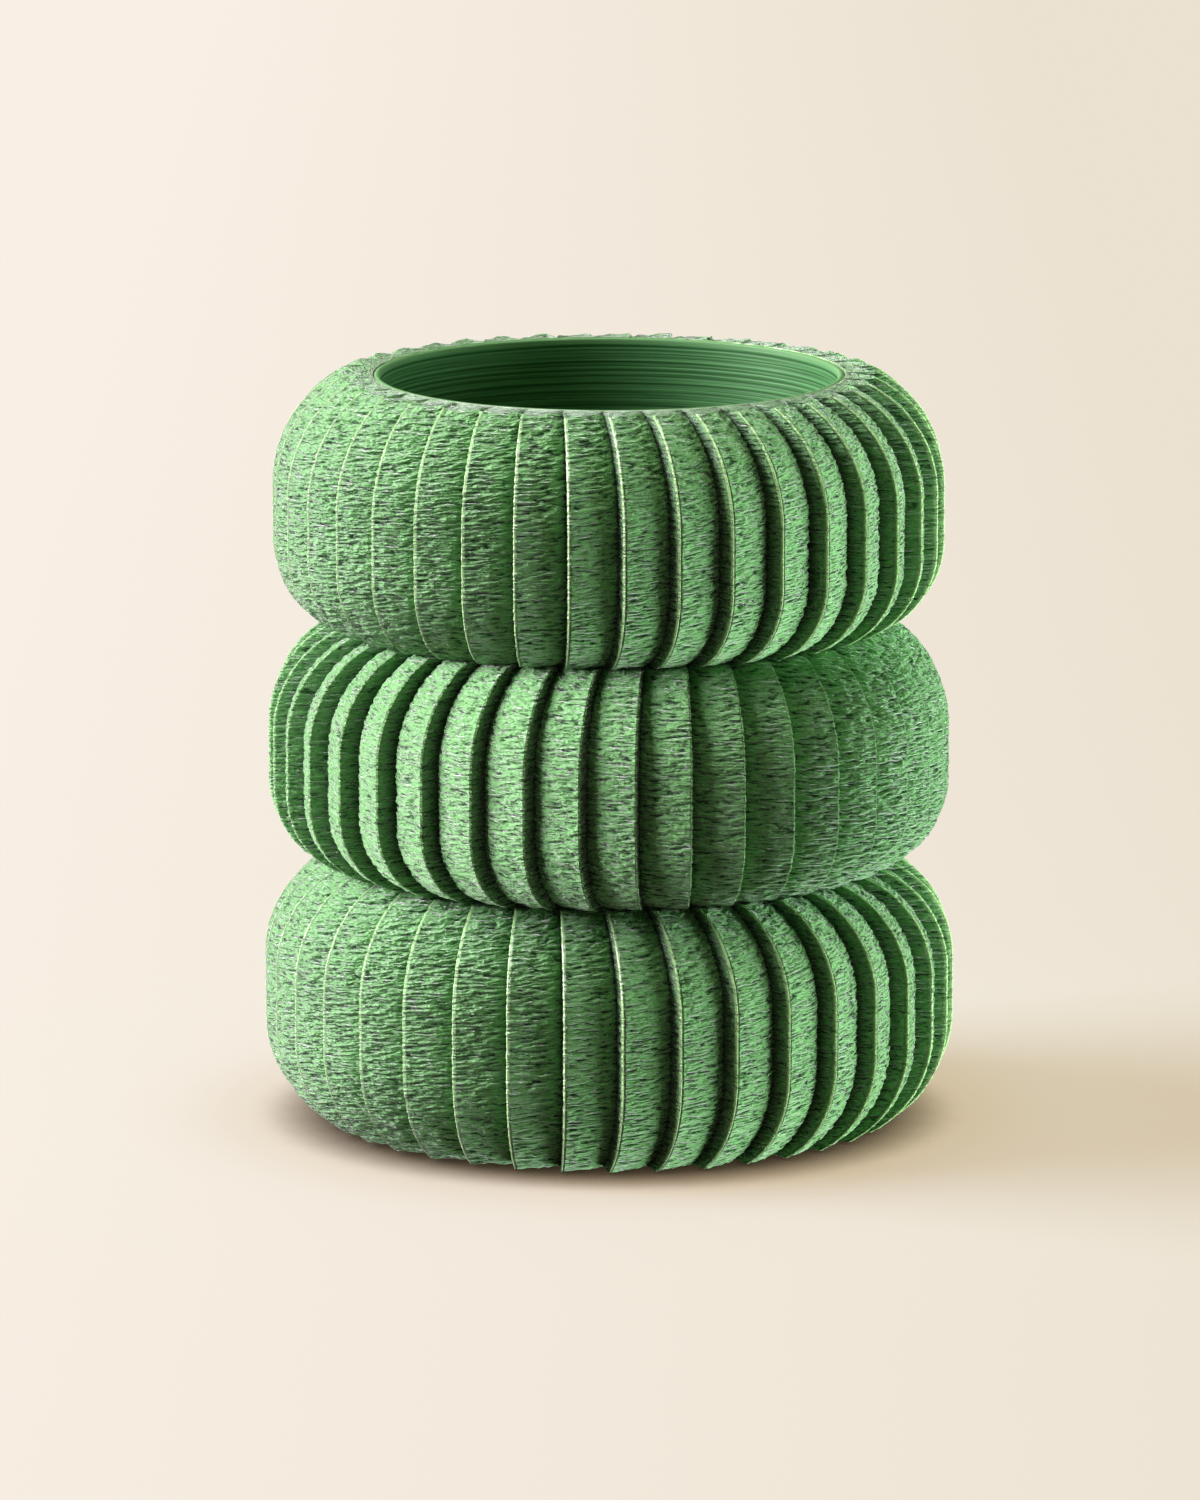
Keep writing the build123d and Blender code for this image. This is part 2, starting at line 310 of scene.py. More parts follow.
def end_tree(graph, geometry, material):
    """Closes a tree: instances are made real and the finish is set."""
    real = graph.node("GeometryNodeRealizeInstances", geometry).outputs[0]
    painted = graph.node("GeometryNodeSetMaterial", named={"Geometry": real, "Material": material})
    graph.node("NodeGroupOutput", painted.outputs[0])
    return graph.tree


def keep_result(piece, modifier):
    """Puts what a modifier makes into the piece's own mesh and removes the modifier."""
    bpy.context.view_layer.update()
    evaluated = bpy.context.evaluated_depsgraph_get()
    mesh = bpy.data.meshes.new_from_object(piece.evaluated_get(evaluated), depsgraph=evaluated)
    piece.modifiers.remove(modifier)
    piece.data = mesh


def run_tree(name, tree, values):
    """Plain mesh object made by a tree with these values for its named inputs."""
    piece = bpy.data.objects.new(name, bpy.data.meshes.new(name))
    bpy.context.scene.collection.objects.link(piece)
    modifier = piece.modifiers.new("made", "NODES")
    modifier.node_group = tree
    for item in tree.interface.items_tree:
        if item.in_out == "INPUT" and item.name in values:
            modifier[item.identifier] = values[item.name]
    keep_result(piece, modifier)
    piece.data.name = name
    return piece


def shoulder(graph, belly, end, reach, rise):
    """Distance from the axis on the arc that leaves the belly upright and meets the flat end."""
    drop = graph.less(belly, end)
    squares = graph.add(graph.times(reach, reach), graph.times(drop, drop))
    arc = graph.over(squares, graph.times(drop, 2.0))
    height = graph.math("SQRT", graph.less(graph.times(arc, arc), graph.times(rise, rise)))
    return graph.add(graph.less(belly, arc), height)


def dash_noise(graph, place, length, height, sway, seed):
    """Noise drawn out into level, slightly wavy dashes of this length and height."""
    wave = graph.node("ShaderNodeTexNoise", noise_dimensions="4D", named={
        "Vector": place, "W": seed, "Scale": 1 / WAVE_LENGTH, "Detail": 0.0}).outputs[0]
    lift = graph.times(graph.times(graph.less(wave, 0.5), sway), height)
    x, y, z = graph.split(place)
    spot = graph.vector(graph.over(x, length), graph.over(y, length),
                        graph.over(graph.add(z, lift), height))
    return graph.node("ShaderNodeTexNoise", noise_dimensions="4D", named={
        "Vector": spot, "W": seed, "Scale": 1.0, "Detail": 1.0, "Roughness": 0.5}).outputs[0]


def unrolled(graph, place, outside):
    """Place with a tier's flat end folded upright, so that the layers run on across it."""
    x, y, z = graph.split(place)
    across = graph.times(graph.less(1.0, outside), RING_WIDTH)
    return graph.vector(x, y, graph.add(z, across))


def ribbed_tier_tree():
    """Closed shell whose outside is a ring of handed ribs with a fuzzy skin."""
    whole = ("Ribs", "Rows")
    sizes = ("Hand", "First Turn", "Bottom Height", "Top Height", "Belly Low", "Belly High", "Rake Offset",
             "Belly Tip", "Belly Root", "Bottom Tip", "Bottom Root", "Top Tip", "Top Root",
             "Foot Bore", "Foot Radius", "Foot Drop", "Floor Height", "Mouth Radius", "Mouth Height",
             "Shell Low", "Shell Belly", "Shell High", "Tip Share", "Face Share", "Crown", "Root Turn",
             "Slot Half", "Fuzz Depth", "Fuzz Length", "Fuzz Height", "Fuzz Sway", "Seed", "Edge Highlight")
    graph, given = new_tree("ribbed_tier", [
        *((label, "Int") for label in whole), *((label, "Float") for label in sizes),
        ("Material", "Material")])
    per_rib = RAMP_STEPS + 1 + FACE_STEPS

    # Points of the section before the ribs and after them
    before = 3
    after = 8 + RING_STEPS
    row_count = graph.add(given["Rows"], 1.0 + before + after)
    columns = graph.times(given["Ribs"], float(per_rib))
    grid = graph.node("GeometryNodeMeshGrid", named={
        "Vertices X": graph.add(columns, 1.0), "Vertices Y": row_count}).outputs["Mesh"]

    # Where a point is: its column round the ring and its row along the section
    index = graph.node("GeometryNodeInputIndex").outputs[0]
    column = graph.math("FLOOR", graph.over(graph.add(index, 0.5), row_count))
    row = graph.less(index, graph.times(column, row_count))
    rib = graph.math("FLOOR", graph.over(graph.add(column, 0.5), float(per_rib)))
    step = graph.less(column, graph.times(rib, float(per_rib)))

    # Ramp from the tip to the root, then the steep face back out to the next tip
    even = graph.least(graph.over(step, float(RAMP_STEPS)), 1.0)
    along = graph.mix(even, graph.math("SINE", graph.times(even, pi / 2)), RAMP_CROWDING)
    ramp = graph.mix(given["Tip Share"], 1.0, along)
    bowed = graph.times(ramp, graph.mix(1.0, ramp, given["Crown"]))
    bowed = graph.mix(bowed, graph.math("POWER", ramp, ROOT_TURN_POWER), given["Root Turn"])
    climb = graph.over(graph.most(graph.less(step, float(RAMP_STEPS)), 0.0), float(FACE_STEPS))
    share = graph.less(bowed, graph.times(climb, graph.less(1.0, given["Face Share"])))
    pitch = graph.over(2 * pi, given["Ribs"])
    turned = graph.times(given["Hand"], graph.times(pitch, graph.add(rib, ramp)))
    turn = graph.add(given["First Turn"], turned)

    # Outside of the section: upright belly with an arc to each flat end
    level = graph.most(graph.less(row, float(before)), 0.0)
    level = graph.least(graph.over(level, given["Rows"]), 1.0)
    height = graph.mix(given["Bottom Height"], given["Top Height"], level)
    rise = graph.most(graph.less(height, given["Belly High"]), 0.0)
    fall = graph.most(graph.less(given["Belly Low"], height), 0.0)
    reach_up = graph.less(given["Top Height"], given["Belly High"])
    reach_down = graph.less(given["Belly Low"], given["Bottom Height"])
    sides = []
    for edge in ("Tip", "Root"):
        belly = given["Belly " + edge]
        upper = shoulder(graph, belly, given["Top " + edge], reach_up, rise)
        lower = shoulder(graph, belly, given["Bottom " + edge], reach_down, fall)
        sides.append(graph.less(graph.add(upper, lower), belly))
    out = graph.mix(sides[0], sides[1], share)
    offset = graph.times(given["Hand"], given["Rake Offset"])
    cosine = graph.math("COSINE", turn)
    sine = graph.math("SINE", turn)
    outer = graph.vector(graph.add(graph.times(offset, sine), graph.times(out, cosine)),
                         graph.less(graph.times(out, sine), graph.times(offset, cosine)), height)

    # Rest of the section: spigot or underside, flat ring, mouth, and the inside of the shell
    end = graph.mix(given["Top Tip"], given["Top Root"], share)
    around = graph.less(turn, graph.math("ARCTAN2", offset, end))
    quarter = graph.less(graph.math("FLOORED_MODULO", around, pi / 2), pi / 4)
    in_slot = graph.math("LESS_THAN", graph.math("ABSOLUTE", quarter), given["Slot Half"])
    drop = graph.times(given["Foot Drop"], graph.less(1.0, in_slot))
    foot = graph.less(given["Bottom Height"], drop)
    edge_radius = graph.math("SQRT", graph.add(graph.times(end, end), graph.times(offset, offset)))
    ring = []
    for number in range(1, RING_STEPS + 1):
        radius = graph.mix(edge_radius, given["Mouth Radius"], number / (RING_STEPS + 1))
        ring.append((radius, given["Top Height"]))
    is_open = graph.math("GREATER_THAN", given["Foot Bore"], 0.0)
    last = graph.mix(given["Floor Height"], foot, is_open)
    ribs_come_here = (0.0, 0.0)
    section = [
        (given["Foot Bore"], foot), (given["Foot Radius"], foot),
        (given["Foot Radius"], given["Bottom Height"]), ribs_come_here, *ring,
        (given["Mouth Radius"], given["Top Height"]), (given["Mouth Radius"], given["Mouth Height"]),
        (given["Shell High"], given["Mouth Height"]), (given["Shell Belly"], given["Belly High"]),
        (given["Shell Belly"], given["Belly Low"]), (given["Shell Low"], given["Floor Height"]),
        (given["Foot Bore"], given["Floor Height"]), (given["Foot Bore"], last)]
    past = graph.most(graph.less(row, graph.add(given["Rows"], float(before))), 0.0)
    place = graph.add(graph.least(row, float(before)), past)
    picks = []
    for side in range(2):
        pick = graph.node("GeometryNodeIndexSwitch", data_type="FLOAT")
        while len(pick.index_switch_items) < len(section):
            pick.index_switch_items.new()
        graph.feed(pick.inputs[0], place)
        for number, point in enumerate(section):
            graph.feed(pick.inputs[number + 1], point[side])
        picks.append(pick.outputs[0])
    inner = graph.vector(graph.times(picks[0], graph.math("COSINE", around)),
                         graph.times(picks[0], graph.math("SINE", around)), picks[1])
    low = graph.math("GREATER_THAN", row, before - 0.5)
    high = graph.math("LESS_THAN", row, graph.add(given["Rows"], before + 0.5))
    on_ribs = graph.times(low, high)
    where = graph.node("GeometryNodeSwitch", on_ribs, inner, outer, input_type="VECTOR").outputs[0]
    mesh = graph.node("GeometryNodeSetPosition", named={"Geometry": grid, "Position": where}).outputs[0]

    # Attributes that the finish reads: depth in the rib, the tips for their painted highlight, way up a
    # steep face,
    # 1 on the ribs fading to 0 across the flat ring, and the mouth's edge for its painted highlight
    ring_share = graph.least(graph.over(past, RING_STEPS + 1.0), 1.0)
    outside = graph.times(low, graph.less(1.0, ring_share))
    mouth = graph.math("COMPARE", past, RING_STEPS + 1.0, 0.5)
    at_start = graph.math("LESS_THAN", step, 0.5)
    at_end = graph.math("GREATER_THAN", climb, 0.99)
    tip = graph.times(graph.most(at_start, at_end), graph.times(on_ribs, given["Edge Highlight"]))
    for label, value in (("rib_share", share), ("tip", tip), ("face", climb), ("outside", outside),
                         ("mouth", mouth)):
        mesh = graph.node("GeometryNodeStoreNamedAttribute", data_type="FLOAT", domain="POINT", named={
            "Geometry": mesh, "Name": label, "Value": value}).outputs[0]
    mesh = graph.node("GeometryNodeMergeByDistance", named={
        "Geometry": mesh, "Distance": 0.01 * MM}).outputs[0]
    mesh = graph.node("GeometryNodeFlipFaces", named={
        "Mesh": mesh, "Selection": graph.math("LESS_THAN", given["Hand"], 0.0)}).outputs[0]

    # Crisp edges along the ribs, then the fuzz, which only ever cuts inwards
    angle = graph.node("GeometryNodeInputMeshEdgeAngle").outputs[0]
    mesh = graph.node("GeometryNodeSetShadeSmooth", domain="EDGE", named={
        "Geometry": mesh, "Selection": graph.math("GREATER_THAN", angle, RIB_CRISP_ANGLE),
        "Shade Smooth": False}).outputs[0]
    mask = graph.node("GeometryNodeInputNamedAttribute", "outside", data_type="FLOAT").outputs[0]
    spot = unrolled(graph, graph.node("GeometryNodeInputPosition").outputs[0], mask)
    noise = dash_noise(graph, spot, given["Fuzz Length"], given["Fuzz Height"], given["Fuzz Sway"],
                       given["Seed"])
    mask = graph.spread(mask, 0.0, FUZZ_FADE)
    rough = graph.spread(noise, FUZZ_DEEPEST, FUZZ_NONE, -1.0, 0.0)
    near_tip = graph.node("GeometryNodeInputNamedAttribute", "tip", data_type="FLOAT").outputs[0]
    mask = graph.times(mask, graph.less(1.0, graph.times(near_tip, FUZZ_OFF_TIPS)))
    cut = graph.times(graph.times(rough, given["Fuzz Depth"]), mask)
    normal = graph.node("GeometryNodeInputNormal").outputs[0]
    push = graph.node("ShaderNodeVectorMath", named={0: normal, 3: cut}, operation="SCALE").outputs[0]
    mesh = graph.node("GeometryNodeSetPosition", named={"Geometry": mesh, "Offset": push}).outputs[0]
    return end_tree(graph, mesh, given["Material"])


def blocks_tree():
    """Ring of upright blocks: keys, stops and clips."""
    graph, given = new_tree("ring_of_blocks", [
        ("Count", "Int"), ("Radius", "Float"), ("First Turn", "Float"), ("Height", "Float"),
        ("Size", "Vector"), ("Material", "Material")])
    spots = graph.node("GeometryNodeMeshCircle", named={
        "Vertices": given["Count"], "Radius": given["Radius"]}).outputs[0]
    lift = graph.vector(0.0, 0.0, given["Height"])
    spin = graph.vector(0.0, 0.0, given["First Turn"])
    placed = graph.node("GeometryNodeTransform", named={
        "Geometry": spots, "Translation": lift, "Rotation": spin}).outputs[0]
    block = graph.node("GeometryNodeMeshCube", given["Size"]).outputs[0]
    index = graph.node("GeometryNodeInputIndex").outputs[0]
    turn = graph.add(given["First Turn"], graph.times(index, graph.over(2 * pi, given["Count"])))
    copies = graph.node("GeometryNodeInstanceOnPoints", named={
        "Points": placed, "Instance": block, "Rotation": graph.vector(0.0, 0.0, turn)}).outputs[0]
    return end_tree(graph, copies, given["Material"])


# Finishes

def printed_layers_group():
    """Level printed layers: broken dashes of a given length and height, and one tone for each layer."""
    tree = bpy.data.node_groups.new("printed_layers", "ShaderNodeTree")
    for label in ("Dash Length", "Dash Height", "Sway", "Seed"):
        tree.interface.new_socket(label, in_out="INPUT", socket_type="NodeSocketFloat")
    for label in ("Dash", "Layer Tone"):
        tree.interface.new_socket(label, in_out="OUTPUT", socket_type="NodeSocketFloat")
    graph = Graph(tree)
    given = graph.node("NodeGroupInput").outputs
    place = unrolled(graph, graph.object_place(), graph.attribute("outside"))
    dash = dash_noise(graph, place, given["Dash Length"], given["Dash Height"], given["Sway"],
                      given["Seed"])
    level = graph.over(graph.split(place)[2], given["Dash Height"])
    tone = graph.node("ShaderNodeTexNoise", noise_dimensions="1D", named={
        "W": graph.add(level, given["Seed"]), "Scale": 0.9, "Detail": 1.0}).outputs[0]
    graph.node("NodeGroupOutput", dash, tone)
    return tree


def new_material(name):
    """Empty material with a Principled shader and its output."""
    material = bpy.data.materials.new(name)
    material.use_nodes = True
    material.node_tree.nodes.clear()
    graph = Graph(material.node_tree)
    shader = graph.node("ShaderNodeBsdfPrincipled")
    graph.node("ShaderNodeOutputMaterial", shader.outputs[0])
    return material, graph, shader.inputs


def place_group(graph, tree, length, height, sway, seed):
    """The printed layers with one material's own sizes."""
    return graph.node("ShaderNodeGroup", node_tree=tree, named={
        "Dash Length": length, "Dash Height": height, "Sway": sway, "Seed": seed}).outputs


def fuzzy_print(layers):
    """Skin of the tiers: broken, wavy layers, with painted shade in the pits and the rib roots and a
    painted highlight along the rib edges.
    """
    material, graph, shader = new_material("fuzzy_green_print")
    dashes = place_group(graph, layers, DASH_LENGTH, DASH_HEIGHT, DASH_SWAY, DASH_SEED)
    fine = place_group(graph, layers, FINE_LENGTH, FINE_HEIGHT, FINE_SWAY, FINE_SEED)
    relief = graph.add(graph.times(dashes["Dash"], 1 - FINE_SHARE), graph.times(fine["Dash"], FINE_SHARE))
    ridge = graph.spread(relief, PIT_LEVEL, RIDGE_LEVEL)
    # Painted shade: the pits of the relief get a far darker green, standing in for the shade that falls
    # into them.
    colour = graph.colour(ridge, GREEN_PIT_SHADE, GREEN_RIDGE)

    # Painted shade in the grooves: a short stretch at the end of a ramp, most of a steep face
    share = graph.attribute("rib_share")
    on_face = graph.spread(graph.attribute("face"), 0.0, 0.05)
    deep = graph.mix(graph.spread(share, RAMP_SHADE_FROM, 1.0), graph.spread(share, FACE_SHADE_FROM, 1.0),
                     on_face)
    on_ribs = graph.spread(graph.attribute("outside"), 0.7, 1.0)
    root = graph.times(graph.times(deep, ROOT_SHADE_STRENGTH), on_ribs)
    colour = graph.colour(root, colour, GREEN_ROOT_SHADE)

    # Painted highlights along the tips and round the mouth, broken where the skin is pitted
    lines = graph.most(graph.spread(graph.attribute("tip"), *TIP_HIGHLIGHT),
                       graph.spread(graph.attribute("mouth"), *MOUTH_HIGHLIGHT))
    edge = graph.times(lines, graph.spread(ridge, 0.0, 0.5, HIGHLIGHT_IN_PITS, HIGHLIGHT_ON_RIDGES))
    graph.feed(shader["Base Color"], graph.colour(edge, colour, GREEN_EDGE_HIGHLIGHT))
    rough = graph.spread(ridge, 0.0, 1.0, PIT_ROUGHNESS, RIDGE_ROUGHNESS)
    graph.feed(shader["Roughness"], graph.mix(rough, EDGE_ROUGHNESS, edge))
    height = graph.times(relief, graph.less(1.0, graph.times(edge, EDGE_FLATNESS)))
    graph.feed(shader["Normal"], graph.bump(height, 1.0, FUZZY_BUMP))
    graph.feed(shader["Coat Weight"], graph.times(edge, EDGE_COAT))
    shader["Coat Roughness"].default_value = 0.25
    shader["Specular IOR Level"].default_value = 0.5
    shader["Sheen Weight"].default_value = 0.8
    shader["Sheen Roughness"].default_value = 0.3
    shader["Sheen Tint"].default_value = (0.95, 1.0, 0.96, 1)
    return material


def smooth_print(layers, rim_z):
    """Pot and saucer: the same plastic printed smooth, with fine level lines; its wall is painted dark as
    shade inside the pot, and its lip is painted paler as light on the rim.
    """
    material, graph, shader = new_material("smooth_green_print")
    lines = place_group(graph, layers, POT_LINE_LENGTH, DASH_HEIGHT, POT_LINE_SWAY, POT_LINE_SEED)
    tone = graph.add(graph.times(lines["Layer Tone"], POT_LAYER_SHARE),
                     graph.times(lines["Dash"], 1 - POT_LAYER_SHARE))
    level = graph.spread(tone, *POT_TONES)
    # Painted shade and light: the wall colours are far darker than the tiers' green for the shade inside
    # the pot, and the lip near the rim is painted lighter where light falls on it.
    wall = graph.colour(level, POT_SHADED_DARK, POT_SHADED_LIGHT)
    lip = graph.spread(graph.split(graph.object_place())[2], rim_z - LIP_START, rim_z - LIP_FULL)
    graph.feed(shader["Base Color"], graph.colour(lip, wall, graph.colour(level, LIP_LIT_DARK, LIP_LIT_LIGHT)))
    graph.feed(shader["Roughness"], graph.spread(level, 0.0, 1.0, *POT_ROUGHNESS))
    graph.feed(shader["Normal"], graph.bump(tone, 0.8, SMOOTH_BUMP))
    shader["Specular IOR Level"].default_value = 0.15
    return material


def pad_rubber():
    """Dull dark rubber with a fine grain."""
    material, graph, shader = new_material("pad_rubber")
    grain = graph.node("ShaderNodeTexNoise", named={
        "Vector": graph.object_place(), "Scale": RUBBER_GRAIN, "Detail": 2.0}).outputs[0]
    graph.feed(shader["Base Color"], graph.colour(grain, RUBBER_DARK, RUBBER_LIGHT))
    graph.feed(shader["Roughness"], graph.spread(grain, 0.0, 1.0, *RUBBER_ROUGHNESS))
    graph.feed(shader["Normal"], graph.bump(grain, 0.3, RUBBER_BUMP))
    return material


# Round pieces

def new_piece(name, mesh):
    """Object that holds a finished bmesh."""
    data = bpy.data.meshes.new(name)
    mesh.to_mesh(data)
    mesh.free()
    piece = bpy.data.objects.new(name, data)
    bpy.context.scene.collection.objects.link(piece)
    return piece


def crisp_edges(piece):
    """Smooth faces with sharp corners."""
    mesh = bmesh.new()
    mesh.from_mesh(piece.data)
    for face in mesh.faces:
        face.smooth = True
    for edge in mesh.edges:
        edge.smooth = edge.calc_face_angle(0.0) < CRISP_ANGLE
    mesh.to_mesh(piece.data)
    mesh.free()


def lathe(name, section, material):
    """Round piece from a section of (radius, height) that starts and ends on the axis."""
    mesh = bmesh.new()
    rings = []
    for radius, height in section:
        if radius < ON_AXIS:
            rings.append([mesh.verts.new((0, 0, height))] * TURNS)
            continue
        ring = []
        for step in range(TURNS):
            angle = 2 * pi * step / TURNS
            ring.append(mesh.verts.new((radius * cos(angle), radius * sin(angle), height)))
        rings.append(ring)
    for ring, following in zip(rings, rings[1:]):
        for step in range(TURNS):
            after = (step + 1) % TURNS
            corners = []
            for corner in (ring[step], ring[after], following[after], following[step]):
                if corner not in corners:
                    corners.append(corner)
            mesh.faces.new(corners)
    bmesh.ops.recalc_face_normals(mesh, faces=mesh.faces)
    piece = new_piece(name, mesh)
    crisp_edges(piece)
    piece.data.materials.append(material)
    return piece


def cut_out(piece, cutter):
    """Takes the cutter's shape out of a piece and drops the cutter."""
    modifier = piece.modifiers.new("cut", "BOOLEAN")
    modifier.operation = "DIFFERENCE"
    modifier.solver = "EXACT"
    modifier.object = cutter
    keep_result(piece, modifier)
    bpy.data.objects.remove(cutter)
    crisp_edges(piece)


def half_round(radius, height, size, steps):
    """Points of a section over a rounded rim, from its outside to its inside."""
    points = []
    for step in range(steps + 1):
        angle = pi * step / steps
        points.append((radius + size * cos(angle), height + size * sin(angle)))
    return points


layers = printed_layers_group()
skin = fuzzy_print(layers)
smooth = smooth_print(layers, POT_HIGH[2])
rubber = pad_rubber()
tier_tree = ribbed_tier_tree()
block_tree = blocks_tree()


# Tiers

def tier(name, node, body, ribs, hand, phase, ends, belly, radii, edge_highlight, inside):
    """One ribbed tier in place of its solid; ends and radii are low and high, belly is rise and radius."""
    low_z, high_z = ends
    low_radius, high_radius = radii
    belly_rise, belly_radius = belly
    offset = belly_radius * sin(RIB_RAKE)

    def in_plane(radius, depth):
        return sqrt((radius - depth)**2 - offset**2)

    def shell(edge_z, end_z, end_radius, z):
        reach = end_z - edge_z
        fall = belly_radius - RIB_DEPTH - (end_radius - RIB_DEPTH_END)
        bend = (reach**2 + fall**2) / (2 * fall)
        return belly_radius - RIB_DEPTH - 2 * SHELL_WALL - bend + sqrt(bend**2 - (z - edge_z)**2)

    belly_low = low_z + belly_rise - BELLY_FLAT / 2
    belly_high = low_z + belly_rise + BELLY_FLAT / 2
    piece = run_tree(name, tier_tree, {
        "Ribs": ribs, "Hand": float(hand), "First Turn": radians(phase - 90) + hand * RIB_RAKE,
        "Rows": round((high_z - low_z) / ROW), "Bottom Height": low_z, "Top Height": high_z,
        "Belly Low": belly_low, "Belly High": belly_high, "Rake Offset": offset,
        "Belly Tip": in_plane(belly_radius, 0), "Belly Root": in_plane(belly_radius, RIB_DEPTH),
        "Bottom Tip": in_plane(low_radius, 0), "Bottom Root": in_plane(low_radius, RIB_DEPTH_END),
        "Top Tip": in_plane(high_radius, 0), "Top Root": in_plane(high_radius, RIB_DEPTH_END),
        "Mouth Height": high_z - FLANGE, "Shell Belly": belly_radius - RIB_DEPTH - SHELL_WALL,
        "Shell Low": shell(belly_low, low_z, low_radius, inside["Floor Height"]),
        "Shell High": shell(belly_high, high_z, high_radius, high_z - FLANGE),
        "Tip Share": TIP_BEVEL / (2 * pi * belly_radius / ribs), "Face Share": TIP_BEVEL / RIB_DEPTH,
        "Crown": RAMP_CROWN, "Root Turn": ROOT_TURN, "Slot Half": SLOT_WIDTH / 2 / SPIGOT_RADIUS,
        "Fuzz Depth": FUZZ_DEPTH, "Fuzz Length": DASH_LENGTH, "Fuzz Height": DASH_HEIGHT,
        "Fuzz Sway": DASH_SWAY, "Seed": DASH_SEED, "Edge Highlight": edge_highlight, "Material": skin, **inside})
    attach(piece, body)
    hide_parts(node)
    return piece


closed = {"Foot Bore": 0.0, "Foot Radius": UNDERSIDE_RING, "Foot Drop": 0.0}
spigot = {"Foot Bore": SPIGOT_BORE, "Foot Radius": SPIGOT_RADIUS, "Foot Drop": SPIGOT_DEPTH}
tier("bottom_shell", "bottom_tier", "base", ribs=38, hand=1, phase=2.1, ends=(BASE_Z, LOW_SEAM_Z),
     belly=(58.4 * MM, 154.5 * MM), radii=(BASE_RADIUS, SEAM_RADIUS), edge_highlight=1.0,
     inside={**closed, "Floor Height": BASE_Z + FLOOR_THICKNESS, "Mouth Radius": SOCKET_RADIUS})
# The middle tier's painted highlight along its tips is weaker.
middle_shell = tier(
    "middle_shell", "middle_tier", "middle", ribs=39, hand=-1, phase=4.6, ends=(LOW_SEAM_Z, HIGH_SEAM_Z),
    belly=(49.0 * MM, 152.1 * MM), radii=(SEAM_RADIUS, SEAM_RADIUS), edge_highlight=0.7,
    inside={**spigot, "Floor Height": LOW_SEAM_Z + FLANGE, "Mouth Radius": SOCKET_RADIUS})
tier("top_shell", "top_tier", "top", ribs=39, hand=1, phase=2.4, ends=(HIGH_SEAM_Z, CROWN_Z),
     belly=(49.7 * MM, 149.6 * MM), radii=(SEAM_RADIUS, CROWN_RADIUS), edge_highlight=1.0,
     inside={**spigot, "Floor Height": HIGH_SEAM_Z + FLANGE, "Mouth Radius": MOUTH_RADIUS})


# Keys, stops and clips

def blocks(name, body, count, radius, turn, height, size):
    """Ring of small blocks riding on a body."""
    piece = run_tree(name, block_tree, {
        "Count": count, "Radius": radius, "First Turn": turn, "Height": height, "Size": size,
        "Material": smooth})
    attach(piece, body)


key_size = (KEY_DEPTH, KEY_WIDTH, FLANGE - KEY_CLEARANCE)
for name, body, seam_z in (("bottom_keys", "base", LOW_SEAM_Z), ("middle_keys", "middle", HIGH_SEAM_Z)):
    blocks(name, body, KEY_COUNT, SPIGOT_BORE + KEY_DEPTH / 2, pi / KEY_COUNT,
           seam_z - FLANGE / 2 - KEY_CLEARANCE / 2, key_size)
blocks("saucer_stops", "base", BLOCK_COUNT,
       SAUCER_RADIUS + STOP_GAP + STOP_SIZE[0] / 2, 0.0, SAUCER_LOW[2] + STOP_SIZE[2] / 2, STOP_SIZE)

# Saucer
dish_z = SAUCER_LOW[2] + SAUCER_FLOOR
dish_radius = SAUCER_RADIUS - SAUCER_WALL
saucer_rim = SAUCER_WALL / 2
saucer = lathe("saucer_dish", [
    (0, SAUCER_LOW[2]), (SAUCER_RADIUS - EDGE_BREAK, SAUCER_LOW[2]),
    (SAUCER_RADIUS, SAUCER_LOW[2] + EDGE_BREAK),
    *half_round(SAUCER_RADIUS - saucer_rim, SAUCER_HIGH[2] - saucer_rim, saucer_rim, SAUCER_RIM_STEPS),
    (dish_radius, dish_z + EDGE_BREAK), (dish_radius - EDGE_BREAK, dish_z), (0, dish_z)], smooth)
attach(saucer, "pot")
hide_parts("drip_saucer")
blocks("saucer_clips", "pot", BLOCK_COUNT,
       FOOT_RING_RADIUS + CLIP_GAP + CLIP_SIZE[0] / 2, pi / 4, dish_z + CLIP_SIZE[2] / 2, CLIP_SIZE)

# Pot, from the middle of its underside out, up, over the rim and down inside
floor_z = POT_LOW[2] + FOOT_RING_HEIGHT
shoulder_z = SAUCER_HIGH[2] + POT_FOOT_RISE
ring_inside = FOOT_RING_RADIUS - FOOT_RING_WALL
foot_inside = POT_FOOT_RADIUS - POT_WALL
pot = lathe("pot_wall", [
    (0, floor_z), (ring_inside, floor_z), (ring_inside, POT_LOW[2]),
    (FOOT_RING_RADIUS, POT_LOW[2]), (FOOT_RING_RADIUS, floor_z), (POT_FOOT_RADIUS - EDGE_BREAK, floor_z),
    (POT_FOOT_RADIUS, floor_z + EDGE_BREAK), (POT_FOOT_RADIUS, shoulder_z),
    (POT_RADIUS, shoulder_z + POT_SHOULDER),
    *half_round(POT_RADIUS - RIM_ROUND, POT_HIGH[2] - RIM_ROUND, RIM_ROUND, POT_RIM_STEPS),
    (POT_RADIUS - POT_WALL, shoulder_z + POT_SHOULDER + POT_WALL), (foot_inside, shoulder_z + POT_WALL),
    (foot_inside, floor_z + POT_FLOOR), (0, floor_z + POT_FLOOR)], smooth)

